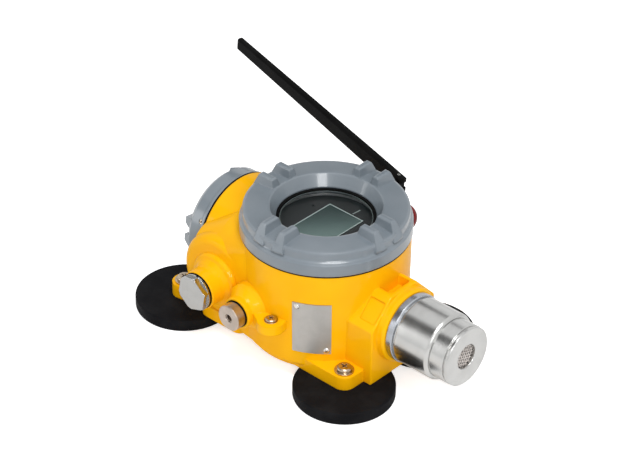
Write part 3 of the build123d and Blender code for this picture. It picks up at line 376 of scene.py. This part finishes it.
# %% [markdown]
# The sintered disc in the sensor's mouth is powder pressed until the grains touch. Voronoi
# cells are the grains: their distance gives both the dark gaps and the bump.

# %% Sintered disc
def sintered():
    disc = Finish("sintered_disc")
    grains = disc.cells(density=1300.0)
    cloud = disc.grain(0.004, 2.0)
    colour = disc.mix(grains.within(0.1, 0.6), (0.34, 0.31, 0.29), (0.19, 0.175, 0.165))
    disc.set(Base_Color=colour, Metallic=0.3, Roughness=0.5 + cloud * 0.2)
    return disc.set(Normal=disc.bump(1 - grains, depth=0.0003, strength=0.8))


wear("flame_arrestor", finish=sintered())

# %% [markdown]
# Plastics: the antenna blade and the inner mouldings are black with a fine spark-eroded
# grain, and the boards are green laminate. The lamp's dome is a red so deep that, unlit, it
# looks solid, so it needs no transparency.

# %% Plastics
def moulded(name, dark, pale, rough, spark_size=0.0006, specular=0.3):
    plastic = Finish(name)
    spark = plastic.grain(spark_size, 2.0)
    cloud = plastic.grain(0.02, 2.0)
    colour = plastic.mix(cloud.within(0.35, 0.7), dark, pale)
    plastic.set(Base_Color=colour, Roughness=rough + spark * 0.12, Specular_IOR_Level=specular)
    return plastic.set(Normal=plastic.bump(spark, depth=0.00006, strength=0.4))


antenna_plastic = moulded("antenna_plastic", (0.003, 0.003, 0.003), (0.006, 0.006, 0.006),
                          rough=0.4, specular=0.03)
black = moulded("black_moulding", (0.012, 0.012, 0.013), (0.02, 0.02, 0.021), rough=0.5)
laminate = moulded("board_laminate", (0.01, 0.09, 0.03), (0.02, 0.13, 0.05),
                   rough=0.35, spark_size=0.002)
sleeve = moulded("cell_sleeve", (0.03, 0.09, 0.2), (0.04, 0.11, 0.24), rough=0.25, spark_size=0.003)
wear("antenna_blade", "antenna_elbow", finish=antenna_plastic)
wear("screen_frame", "cell_cradle", "terminal_block", "element_holder", finish=black)
wear("upper_board", "lower_board", "lamp_board", finish=laminate)
wear("battery_cell", finish=sleeve)


def red_lens():
    lens = Finish("red_lens")
    swirl = lens.grain(0.006, 2.0)
    lens.set(Base_Color=lens.mix(swirl, (0.14, 0.001, 0.001), (0.20, 0.001, 0.001)))
    lens.set(Roughness=0.1 + swirl * 0.08, IOR=1.49, Specular_IOR_Level=0.1)
    return lens.set(Normal=lens.bump(swirl, depth=0.00004, strength=0.3))


wear("lamp_lens", finish=red_lens())

# %% [markdown]
# The window is thick tempered glass. A full glass shader would need many bounces to show the
# dial through two faces, and it would throw a dark shadow on it. So the glass here is mostly
# clear: an Alpha that lets the dial through and a gloss that keeps the reflections.

# %% Window glass
def window():
    glass = Finish("window_glass")
    haze = glass.grain(0.02, 2.0)
    glass.set(Base_Color=(0.02, 0.035, 0.035), Roughness=haze * 0.01, IOR=1.5)
    return glass.set(Alpha=0.12 + haze * 0.03)


wear("window_glass", finish=window())

# %% [markdown]
# Under the glass lie a dark printed faceplate and a greenish display, switched off. Both are
# plain on purpose: no wording belongs on a generic part. The display carries painted light: it
# is paler towards its near corner, which a slope along both axes gives.

# %% Faceplate and display
# How fast the painted light on the display grows along x and along y.
PAINTED_LIGHT_SLOPE = (16.0, 18.0)
DISPLAY_Y = -19.2 * MM


def faceplate_film():
    film = Finish("faceplate_film")
    weave = film.grain(0.0007, 2.0)
    film.set(Base_Color=film.mix(weave, (0.030, 0.029, 0.030), (0.042, 0.040, 0.042)))
    bumps = film.bump(weave, depth=0.00003, strength=0.3)
    return film.set(Roughness=0.38 + weave * 0.1, Normal=bumps)


def display_cell():
    cell = Finish("display_cell")
    x, y, _ = cell.axes((0.0, DISPLAY_Y, 0.0))
    # Painted light: the display is paler towards its near corner.
    painted_light = (x * PAINTED_LIGHT_SLOPE[0] + y * PAINTED_LIGHT_SLOPE[1] + 0.5).within(0.05, 0.95)
    dots = cell.cells(density=1800.0)
    base = cell.mix(painted_light, (0.27, 0.38, 0.36), (0.04, 0.062, 0.06))
    cell.set(Base_Color=cell.mix(dots * 0.15, base, (0.25, 0.32, 0.30)))
    return cell.set(Roughness=0.2 + dots * 0.05)


wear("faceplate", finish=faceplate_film())
wear("screen", finish=display_cell())

# %% [markdown]
# The nameplate is a satin steel sheet, brushed along its length and left bare.

# %% Nameplate
def brushed_plate():
    plate = Finish("nameplate_steel")
    strokes = plate.grain(0.0005, 3.0, vector=plate.stretched((1.0, 1.0, 0.03)))
    cloud = plate.grain(0.008, 3.0)
    colour = plate.mix(cloud.within(0.3, 0.7), (0.40, 0.39, 0.37), (0.44, 0.43, 0.41))
    plate.set(Base_Color=colour, Metallic=0.75, Roughness=0.38 + strokes * 0.12)
    return plate.set(Normal=plate.bump(strokes, depth=0.00002, strength=0.4))


wear("nameplate", finish=brushed_plate())

# %% [markdown]
# Some details are too fine for the CAD model and belong to the look. They are built here from
# short mesh code, in metres, and each one rides on the body that carries it. A flat strip with
# a little thickness does for printed lines and for a painted highlight, and a swept tube does
# for wire. A strip is sunk a hair into what carries it, so that no gap shows under it.

# %% Helpers for fine detail
SUNK = 0.02 * MM


def piece(name, form, finish, body, smooth=False):
    mesh = bpy.data.meshes.new(name)
    bmesh.ops.recalc_face_normals(form, faces=form.faces)
    form.to_mesh(mesh)
    form.free()
    mesh.materials.append(finish.material)
    for face in mesh.polygons:
        face.use_smooth = smooth
    made = bpy.data.objects.new(name, mesh)
    bpy.context.scene.collection.objects.link(made)
    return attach(made, body)


def prism(form, outline, low, high):
    """Adds an upright prism on a closed outline of (x, y) points."""
    bottom = [form.verts.new((x, y, low)) for x, y in outline]
    top = [form.verts.new((x, y, high)) for x, y in outline]
    form.faces.new(bottom[::-1])
    form.faces.new(top)
    for k in range(len(outline)):
        n = (k + 1) % len(outline)
        form.faces.new((bottom[k], bottom[n], top[n], top[k]))


def tube(form, path, radius, sides):
    """Adds a round wire along a list of points, closed at both ends."""
    rings = []
    for k, point in enumerate(path):
        ahead = path[min(k + 1, len(path) - 1)] - path[max(k - 1, 0)]
        turn = ahead.to_track_quat("Z", "Y")
        ring = []
        for n in range(sides):
            angle = 2 * math.pi * n / sides
            spoke = turn @ Vector((math.cos(angle), math.sin(angle), 0)) * radius
            ring.append(form.verts.new(point + spoke))
        rings.append(ring)
    for low, high in zip(rings, rings[1:]):
        for n in range(sides):
            m = (n + 1) % sides
            form.faces.new((low[n], low[m], high[m], high[n]))
    form.faces.new(rings[0][::-1])
    form.faces.new(rings[-1])


# %% [markdown]
# The display has a thin pale line round it, a painted highlight where the edge of its cover
# sheet catches light, and the faceplate carries one short printed index mark. Both stand less
# than a tenth of a millimetre proud of what they lie on.

# %% Lines on the faceplate
LINE_WIDTH = 0.6 * MM
LINE_MARGIN = 0.1 * MM
LINE_PROUD = 0.08 * MM
MARK_START, MARK_END = Vector((22.3, -2.6)) * MM, Vector((28.9, -3.2)) * MM
MARK_HALF_WIDTH = 0.25 * MM
MARK_PROUD = 0.06 * MM

# One pale colour serves the printed index mark and the painted highlight round the display.
print_and_painted_highlight = Finish("print_and_painted_highlight")
pale_cloud = print_and_painted_highlight.grain(0.004, 2.0)
print_and_painted_highlight.set(Base_Color=print_and_painted_highlight.mix(pale_cloud, (0.62, 0.76, 0.73), (0.74, 0.88, 0.85)))
print_and_painted_highlight.set(Roughness=0.4 + pale_cloud * 0.1)


# The pale outline round the display is a painted highlight.
def screen_outline():
    low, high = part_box("screen")
    form = bmesh.new()
    x0, x1 = low.x - LINE_MARGIN, high.x + LINE_MARGIN
    y0, y1 = low.y - LINE_MARGIN, high.y + LINE_MARGIN
    inner0, inner1 = y0 + LINE_WIDTH, y1 - LINE_WIDTH
    strips = (
        (x0, y0, x1, inner0), (x0, inner1, x1, y1),
        (x0, inner0, x0 + LINE_WIDTH, inner1), (x1 - LINE_WIDTH, inner0, x1, inner1),
    )
    for left, front, right, back in strips:
        outline = [(left, front), (right, front), (right, back), (left, back)]
        prism(form, outline, high.z - SUNK, high.z + LINE_PROUD)
    return piece("screen_outline", form, print_and_painted_highlight, "housing")


def index_mark():
    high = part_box("faceplate")[1]
    form = bmesh.new()
    across = (MARK_END - MARK_START).normalized().orthogonal() * MARK_HALF_WIDTH
    corners = (MARK_START - across, MARK_END - across, MARK_END + across, MARK_START + across)
    outline = [(corner.x, corner.y + DISPLAY_Y) for corner in corners]
    prism(form, outline, high.z - SUNK, high.z + MARK_PROUD)
    return piece("index_mark", form, print_and_painted_highlight, "housing")


# The outline is a painted highlight; the index mark is print.
for line in (screen_outline(), index_mark()):
    print("printed line:", line.name)

# %% [markdown]
# The window's edge is ground at a slant, and ground glass is duller and paler than polished
# glass. It shows as a thin circle just inside the black seal, so a flat ring on the glass does.

# %% Ground edge of the window
GROUND_RADIUS = 29.5 * MM
GROUND_WIDTH = 0.35 * MM
GROUND_PROUD = 0.05 * MM
RING_STEPS = 160


def ring(form, radius, width, low, high):
    """Adds a flat ring about the display axis."""
    outer = radius + width
    turn = [2 * math.pi * k / RING_STEPS for k in range(RING_STEPS)]
    loops = []
    for r, z in ((radius, low), (outer, low), (outer, high), (radius, high)):
        points = [(r * math.cos(angle), DISPLAY_Y + r * math.sin(angle), z) for angle in turn]
        loops.append([form.verts.new(point) for point in points])
    for a, b in zip(loops, loops[1:] + loops[:1]):
        for k in range(RING_STEPS):
            n = (k + 1) % RING_STEPS
            form.faces.new((a[k], a[n], b[n], b[k]))


def ground_edge():
    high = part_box("window_glass")[1]
    form = bmesh.new()
    ring(form, GROUND_RADIUS, GROUND_WIDTH, high.z - SUNK, high.z + GROUND_PROUD)
    return piece("ground_edge", form, ground_glass, "display_cover")


ground_glass = Finish("ground_glass")
frost = ground_glass.grain(0.002, 2.0)
ground_glass.set(Base_Color=ground_glass.mix(frost, (0.10, 0.125, 0.12), (0.16, 0.19, 0.185)))
ground_glass.set(Roughness=0.3 + frost * 0.1)
print("faces in the ground edge:", len(ground_edge().data.polygons))

# %% [markdown]
# In front of the sintered disc sits a woven wire mesh. Each wire passes over one neighbour and
# under the next, which is a sine wave whose sign changes from wire to wire.

# %% Wire mesh in the sensor's mouth
MESH_PITCH = 2.1 * MM
MESH_RADIUS = 8.3 * MM
MESH_DEPTH = 2.4 * MM
MESH_TURN = math.radians(20)
WIRE_RADIUS = 0.26 * MM
WIRE_SIDES = 5
WEAVE_LIFT = 0.95 * WIRE_RADIUS
POINTS_PER_PITCH = 4


def woven_path(centre, offset, along_x, side):
    """Points of one wire, which crosses the mouth at this offset from the middle."""
    half = math.sqrt(max(MESH_RADIUS * MESH_RADIUS - offset * offset, 0.0))
    if half < MESH_PITCH:
        return []
    count = max(int(half * 2 / MESH_PITCH * POINTS_PER_PITCH), POINTS_PER_PITCH)
    path = []
    for k in range(count + 1):
        along = -half + 2 * half * k / count
        lift = WEAVE_LIFT * side * math.cos(math.pi * along / MESH_PITCH)
        place = (along, lift, offset) if along_x else (offset, lift, along)
        path.append(centre + Vector(place))
    return path


def wire_mesh():
    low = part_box("sensor_cap")[0]
    centre = Vector((SENSOR_AXIS.x, low.y + MESH_DEPTH, SENSOR_AXIS.z))
    form = bmesh.new()
    count = int(MESH_RADIUS / MESH_PITCH)
    for step in range(-count, count + 1):
        for way in (0, 1):
            side = 1 if (step + way) % 2 else -1
            path = woven_path(centre, step * MESH_PITCH, along_x=bool(way), side=side)
            if path:
                tube(form, path, WIRE_RADIUS, WIRE_SIDES)
    made = piece("wire_mesh", form, mesh_wire, "housing", smooth=True)
    turn = Matrix.Rotation(MESH_TURN, 4, "Y")
    made.data.transform(Matrix.Translation(centre) @ turn @ Matrix.Translation(-centre))
    return made


mesh_wire = plated("mesh_wire", (0.78, 0.72, 0.68), (0.92, 0.86, 0.82), rough=0.4)
mesh_wire.set(Metallic=0.15)
print("faces in the wire mesh:", len(wire_mesh().data.polygons))

# %% [markdown]
# The studio is a pale floor that fades into a white surround. Light Path tells the floor who
# is looking. For the camera it glows until it is near white, and a shadow still darkens it.
# Metal and glass see much less of that glow, and it sheds no light on the object.

# %% Floor
FLOOR_REACH = 6.0
FLOOR_GLOW = 0.6
MIRRORED_SHARE = 0.2


def floor():
    mesh = bpy.data.meshes.new("studio_floor")
    form = bmesh.new()
    bmesh.ops.create_grid(form, x_segments=2, y_segments=2, size=FLOOR_REACH)
    form.to_mesh(mesh)
    form.free()
    sheet = bpy.data.objects.new("studio_floor", mesh)
    bpy.context.scene.collection.objects.link(sheet)
    paper = Finish("studio_paper")
    path = paper.node("ShaderNodeLightPath")
    mirrored = path["Is Glossy Ray"].most(path["Is Transmission Ray"]) * MIRRORED_SHARE
    seen = path["Is Camera Ray"].most(mirrored)
    paper.set(Base_Color=(0.9, 0.9, 0.9), Roughness=1.0)
    paper.set(Specular_IOR_Level=0.0, Emission_Strength=1.0)
    paper.set(Emission_Color=paper.mix(seen, (0.0, 0.0, 0.0), (FLOOR_GLOW,) * 3))
    mesh.materials.append(paper.material)
    return sheet


print("floor reaches", FLOOR_REACH, "m each way:", floor().name)

# %% [markdown]
# Enamel needs broad light from above, with one side a little stronger, so that each casting
# edge turns from bright to deep orange. The lights are large and low in power, which keeps
# pale metal from clipping to white.

# %% Lights
OBJECT_MIDDLE = Vector((0, 0, 0.05))
SENSOR_MIDDLE = Vector((0, -0.1, 0.04))


def facing(place, aim, axis):
    """The turn that points this axis of something at that place towards its aim."""
    return (Vector(aim) - Vector(place)).to_track_quat(axis, "Y").to_euler()


def soft_light(name, place, aim, width, height, power):
    data = bpy.data.lights.new(name, "AREA")
    data.shape = "RECTANGLE"
    data.size = width
    data.size_y = height
    data.energy = power
    lamp = bpy.data.objects.new(name, data)
    lamp.location = place
    lamp.rotation_euler = facing(place, aim, "-Z")
    bpy.context.scene.collection.objects.link(lamp)
    print(name, "gives", power, "W")


soft_light("top_box", (-0.25, -0.40, 1.40), OBJECT_MIDDLE, width=0.55, height=0.55, power=11.0)
soft_light("key_box", (-0.85, -1.10, 0.85), OBJECT_MIDDLE, width=0.5, height=0.5, power=8.0)
soft_light("side_strip", (-0.80, 0.62, 0.42), SENSOR_MIDDLE, width=0.16, height=0.7, power=1.1)

# %% [markdown]
# The window mirrors one small patch of the room to the camera, and the steel barrel mirrors a
# long arc of it. A photographer stands dark cards there: one keeps the display readable and
# one draws the dark streak along the steel. Only reflections see the cards.

# %% Dark cards
UNIT_SQUARE = 0.5  # create_grid takes half a side


def dark_card(name, place, aim, width, height):
    mesh = bpy.data.meshes.new(name)
    form = bmesh.new()
    bmesh.ops.create_grid(form, x_segments=1, y_segments=1, size=UNIT_SQUARE)
    bmesh.ops.scale(form, vec=(width, height, 1.0), verts=form.verts)
    form.to_mesh(mesh)
    form.free()
    felt = Finish(name)
    nap = felt.grain(0.004, 2.0)
    felt.set(Base_Color=felt.mix(nap, (0.004, 0.004, 0.004), (0.012, 0.012, 0.012)), Roughness=1.0)
    felt.set(Specular_IOR_Level=0.0)
    mesh.materials.append(felt.material)
    card = bpy.data.objects.new(name, mesh)
    card.location = place
    card.rotation_euler = facing(place, aim, "Z")
    card.visible_camera = card.visible_diffuse = card.visible_shadow = False
    bpy.context.scene.collection.objects.link(card)
    print(name, "is", width, "by", height, "m")


GLASS_TOP = Vector((0, DISPLAY_Y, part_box("window_glass")[1].z))
CARD_DISTANCE = 0.55


def mirrored_from(point, distance):
    """Where the camera looks, at this distance, after the window mirrors its line of sight."""
    line = (point - camera.matrix_world.translation).normalized()
    line.z = -line.z
    return point + line * distance


DISPLAY_CARD_PLACE = mirrored_from(GLASS_TOP, CARD_DISTANCE)
dark_card("display_card", DISPLAY_CARD_PLACE, GLASS_TOP, width=0.22, height=0.22)
dark_card("barrel_card", (-0.40, 0.35, 0.60), SENSOR_MIDDLE, width=0.27, height=0.6)

# %% [markdown]
# The backdrop is white wherever the camera, metal or glass sees it, while the light that the
# world gives to paint stays low.

# %% World
WORLD_FILL = 0.47
WORLD_WHITE = 1.0


def surround():
    world = bpy.data.worlds.new("studio_world")
    network = Network(world)
    path = network.node("ShaderNodeLightPath")
    fill, white = (
        network.node("ShaderNodeBackground", {}, {"Color": (1, 1, 1), "Strength": strength})
        for strength in (WORLD_FILL, WORLD_WHITE)
    )
    seen = fill["Background"]
    for ray in ("Is Glossy Ray", "Is Transmission Ray", "Is Camera Ray"):
        inputs = {"Fac": path[ray], 1: seen, 2: white["Background"]}
        seen = network.node("ShaderNodeMixShader", {}, inputs)["Shader"]
    network.node("ShaderNodeOutputWorld", {}, {"Surface": seen})
    bpy.context.scene.world = world


surround()
bpy.context.scene.view_settings.view_transform = "Standard"
print("world lights paint at", WORLD_FILL, "and shows as", WORLD_WHITE)
